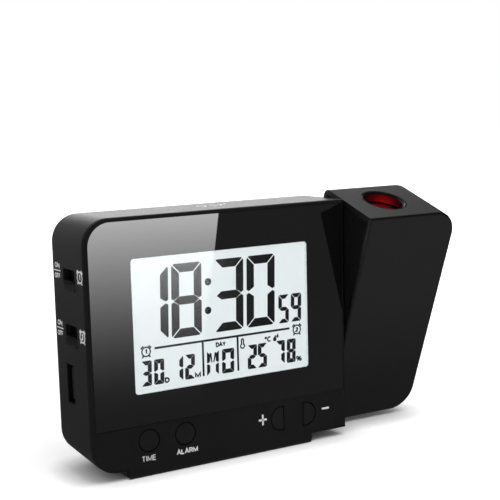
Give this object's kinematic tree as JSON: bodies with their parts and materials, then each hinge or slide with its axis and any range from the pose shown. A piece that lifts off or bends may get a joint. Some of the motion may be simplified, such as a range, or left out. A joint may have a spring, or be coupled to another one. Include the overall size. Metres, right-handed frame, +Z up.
{
  "type": "projection alarm clock",
  "caption": "Table alarm clock with a wide display in a slim upright body and a projector arm that turns at its end.",
  "frame": {"origin": "on the table, at the middle of the foot pad, under the middle of the body", "axes": "+X from the body's free end towards the projector arm, -Y out of the display, +Z up"},
  "size_m": [0.1457, 0.0559, 0.0919],
  "materials": {
    "matt_shell": "fine matt texture",
    "frame_black": "satin black",
    "gloss_panel": "polished black",
    "clear_window": "clear acrylic",
    "lcd": "pale backlit display",
    "light_plastic": "white",
    "soft_rubber": "soft black",
    "led_white": "clear white",
    "circuit_board": "green solder resist",
    "dark_plastic": "matt black",
    "switch_metal": "plated sheet",
    "copper": "copper foil",
    "screw_steel": "zinc plated",
    "bush_plastic": "natural acetal",
    "cell_jacket": "printed sleeve, plain",
    "red_lens": "polished, red from the lamp",
    "red_led": "clear red",
    "cable_jacket": "black sleeve"
  },
  "bodies": {
    "body": {"front_frame": "frame_black", "rear_housing": "matt_shell", "front_panel": "gloss_panel", "display_window": "clear_window", "foot_pad": "soft_rubber", "lcd_cell": "lcd", "light_guide": "light_plastic", "lcd_holder": "light_plastic", "lcd_connector": "soft_rubber", "backlight_leds": "led_white", "main_board": "circuit_board", "controller_chip": "dark_plastic", "beeper": "dark_plastic", "climate_sensor": "dark_plastic", "touch_plate": "copper", "touch_lead": "copper", "key_switches": "switch_metal", "key_board": "circuit_board", "alarm_1_switch": "switch_metal", "alarm_2_switch": "switch_metal", "switch_board": "circuit_board", "usb_shell": "switch_metal", "usb_tongue": "dark_plastic", "power_board": "circuit_board", "power_inlet": "dark_plastic", "batteries": "cell_jacket", "battery_contacts": "switch_metal", "housing_screws": "screw_steel", "board_screws": "screw_steel", "pivot_bush": "bush_plastic"},
    "arm": {"arm_shell": "matt_shell", "arm_side_cover": "matt_shell", "arm_screws": "screw_steel", "pivot_hub": "bush_plastic", "pivot_washer": "screw_steel", "pivot_clip": "screw_steel", "hub_screws": "screw_steel", "lamp_housing": "dark_plastic", "image_cell": "lcd", "condenser_lens": "clear_window", "lamp_board": "circuit_board", "lamp_led": "red_led", "lamp_cable": "cable_jacket"},
    "time_key": {"time_button": "frame_black", "time_plunger": "dark_plastic"},
    "alarm_key": {"alarm_button": "frame_black", "alarm_plunger": "dark_plastic"},
    "plus_key": {"plus_button": "frame_black", "plus_plunger": "dark_plastic"},
    "minus_key": {"minus_button": "frame_black", "minus_plunger": "dark_plastic"},
    "alarm_1_slider": {"alarm_1_knob": "matt_shell"},
    "alarm_2_slider": {"alarm_2_knob": "matt_shell"},
    "door": {"battery_door": "matt_shell"},
    "focus": {"focus_ring": "dark_plastic"},
    "barrel": {"lens_barrel": "dark_plastic", "projection_lens": "red_lens"}
  },
  "joints": [
    {"name": "arm_tilt", "type": "hinge", "parent": "body", "child": "arm", "pos_m": [0.052, 0, 0.0408], "axis": [1, 0, 0], "range_deg": [-109.8, 70.2]},
    {"name": "time_press", "type": "slide", "parent": "body", "child": "time_key", "axis": [0, 1, 0], "range_m": [0, 0.0006], "stiffness_N_per_m": 400, "springref_m": -0.0008},
    {"name": "alarm_press", "type": "slide", "parent": "body", "child": "alarm_key", "axis": [0, 1, 0], "range_m": [0, 0.0006], "stiffness_N_per_m": 400, "springref_m": -0.0008},
    {"name": "plus_press", "type": "slide", "parent": "body", "child": "plus_key", "axis": [0, 1, 0], "range_m": [0, 0.0006], "stiffness_N_per_m": 400, "springref_m": -0.0008},
    {"name": "minus_press", "type": "slide", "parent": "body", "child": "minus_key", "axis": [0, 1, 0], "range_m": [0, 0.0006], "stiffness_N_per_m": 400, "springref_m": -0.0008},
    {"name": "alarm_1_slide", "type": "slide", "parent": "body", "child": "alarm_1_slider", "axis": [0, 0, 1], "range_m": [0, 0.0036]},
    {"name": "alarm_2_slide", "type": "slide", "parent": "body", "child": "alarm_2_slider", "axis": [0, 0, 1], "range_m": [0, 0.0036]},
    {"name": "battery_door_swing", "type": "hinge", "parent": "body", "child": "door", "pos_m": [0.002, 0.0148, 0.0497], "axis": [-1, 0, 0], "range_deg": [0, 90]},
    {"name": "focus_turn", "type": "hinge", "parent": "arm", "child": "focus", "pos_m": [0.069, 0, 0.0408], "axis": [0, -0.3387, 0.9409], "range_deg": [-90, 90]},
    {"name": "barrel_shift", "type": "slide", "parent": "arm", "child": "barrel", "axis": [0, -0.3387, 0.9409], "range_m": [-0.0015, 0.0015]}
  ],
  "couplings": [
    {"joint": "focus_turn", "follows": "barrel_shift", "rad_per_m": 1047}
  ]
}
